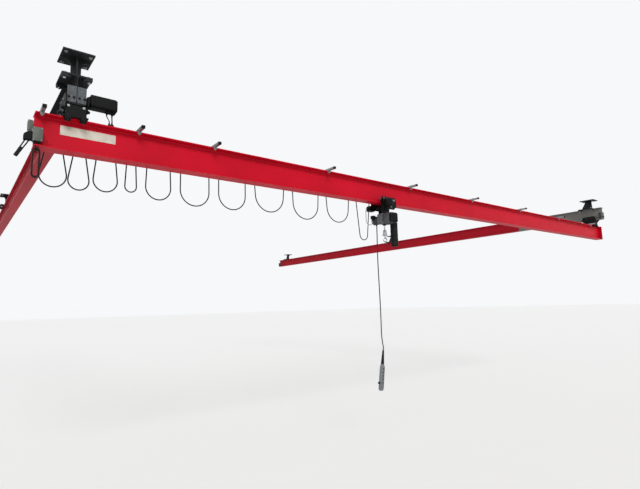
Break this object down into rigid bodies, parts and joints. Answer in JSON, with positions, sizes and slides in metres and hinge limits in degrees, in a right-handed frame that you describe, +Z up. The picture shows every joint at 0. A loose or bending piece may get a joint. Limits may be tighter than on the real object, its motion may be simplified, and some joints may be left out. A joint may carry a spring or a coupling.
{
  "type": "underslung overhead bridge crane",
  "caption": "Underslung overhead crane: a girder on two carriages under hung runways, with a chain hoist, festoon cable and pendant.",
  "frame": {"origin": "middle of the top face of the near left hanger, against the roof beam", "axes": "X along the bridge girder, Y along the runways, Z up"},
  "size_m": [11.7389, 13.42, 3.4554],
  "materials": {
    "red_paint": "gloss red machine paint",
    "dark_paint": "dark grey primer paint",
    "black_paint": "black machine paint",
    "zinc": "galvanised steel",
    "bright_steel": "bright steel",
    "rubber": "black rubber",
    "cable": "black cable sheath",
    "cable_grey": "pale grey cable sheath",
    "cable_brown": "dark brown-red cable sheath",
    "box_plastic": "grey moulded plastic",
    "black_plastic": "black moulded plastic",
    "handset": "grey moulded plastic"
  },
  "bodies": {
    "runways": {"runway_left": "red_paint", "runway_right": "red_paint", "hangers": "dark_paint", "flange_clamps": "dark_paint", "end_stops": "zinc", "end_buffers": "rubber"},
    "bridge": {"girder": "red_paint", "carriage_plates": "black_paint", "carriage_wheels": "bright_steel", "carriage_yokes": "dark_paint", "drive_motors": "black_plastic", "festoon_arms": "zinc", "festoon_rail": "zinc", "terminal_boxes": "box_plastic", "supply_arm": "black_plastic", "spare_cable": "cable_brown", "parked_carriers": "black_plastic", "parked_loops": "cable", "trolley_stops": "zinc"},
    "hoist": {"trolley_plates": "black_paint", "trolley_wheels": "bright_steel", "travel_motor": "black_plastic", "tow_arm": "dark_paint", "hoist_housing": "black_paint", "hoist_motor": "dark_paint", "control_box": "black_plastic", "chain_container": "black_plastic", "slack_chain": "bright_steel", "hoist_lead": "cable_grey", "pendant_cable": "cable", "pendant_body": "handset", "pendant_buttons": "black_plastic"},
    "hook_block": {"load_chain": "bright_steel", "hook_block": "bright_steel"},
    "hook": {"hook": "bright_steel"},
    "carrier_1": {"carrier_1": "black_plastic", "loop_1": "cable"},
    "carrier_2": {"carrier_2": "black_plastic", "loop_2": "cable"},
    "carrier_3": {"carrier_3": "black_plastic", "loop_3": "cable"},
    "carrier_4": {"carrier_4": "black_plastic", "loop_4": "cable"},
    "carrier_5": {"carrier_5": "black_plastic", "loop_5": "cable"},
    "carrier_6": {"carrier_6": "black_plastic", "loop_6": "cable"},
    "tow_carrier": {"tow_carrier": "black_plastic", "loop_7": "cable"}
  },
  "joints": [
    {"name": "bridge_travel", "type": "slide", "parent": "runways", "child": "bridge", "axis": [0, 1, 0], "range_m": [0, 13.04]},
    {"name": "hoist_travel", "type": "slide", "parent": "bridge", "child": "hoist", "axis": [1, 0, 0], "range_m": [-2.327, 7.16]},
    {"name": "hook_lift", "type": "slide", "parent": "hoist", "child": "hook_block", "axis": [0, 0, -1], "range_m": [0, 2.5]},
    {"name": "hook_swivel", "type": "hinge", "parent": "hook_block", "child": "hook", "pos_m": [3.94, 0, -1.3317], "axis": [0, 0, 1], "continuous": true},
    {"name": "carrier_1_travel", "type": "slide", "parent": "bridge", "child": "carrier_1", "axis": [1, 0, 0], "range_m": [-0.2155, 0.662], "deforming": ["loop_1"]},
    {"name": "carrier_2_travel", "type": "slide", "parent": "carrier_1", "child": "carrier_2", "axis": [1, 0, 0], "range_m": [-0.3055, 0.939], "deforming": ["loop_2"]},
    {"name": "carrier_3_travel", "type": "slide", "parent": "carrier_2", "child": "carrier_3", "axis": [1, 0, 0], "range_m": [-0.3205, 0.9851], "deforming": ["loop_3"]},
    {"name": "carrier_4_travel", "type": "slide", "parent": "carrier_3", "child": "carrier_4", "axis": [1, 0, 0], "range_m": [-0.4155, 1.2774], "deforming": ["loop_4"]},
    {"name": "carrier_5_travel", "type": "slide", "parent": "carrier_4", "child": "carrier_5", "axis": [1, 0, 0], "range_m": [-0.4055, 1.2466], "deforming": ["loop_5"]},
    {"name": "carrier_6_travel", "type": "slide", "parent": "carrier_5", "child": "carrier_6", "axis": [1, 0, 0], "range_m": [-0.4055, 1.2467], "deforming": ["loop_6"]},
    {"name": "tow_carrier_travel", "type": "slide", "parent": "carrier_6", "child": "tow_carrier", "axis": [1, 0, 0], "range_m": [-0.2625, 0.8066], "deforming": ["loop_7"]}
  ],
  "couplings": [
    {"joint": "carrier_1_travel", "follows": "hoist_travel", "ratio": 0.09239},
    {"joint": "carrier_2_travel", "follows": "hoist_travel", "ratio": 0.13107},
    {"joint": "carrier_3_travel", "follows": "hoist_travel", "ratio": 0.13752},
    {"joint": "carrier_4_travel", "follows": "hoist_travel", "ratio": 0.17834},
    {"joint": "carrier_5_travel", "follows": "hoist_travel", "ratio": 0.17404},
    {"joint": "carrier_6_travel", "follows": "hoist_travel", "ratio": 0.17405},
    {"joint": "tow_carrier_travel", "follows": "hoist_travel", "ratio": 0.11259}
  ]
}
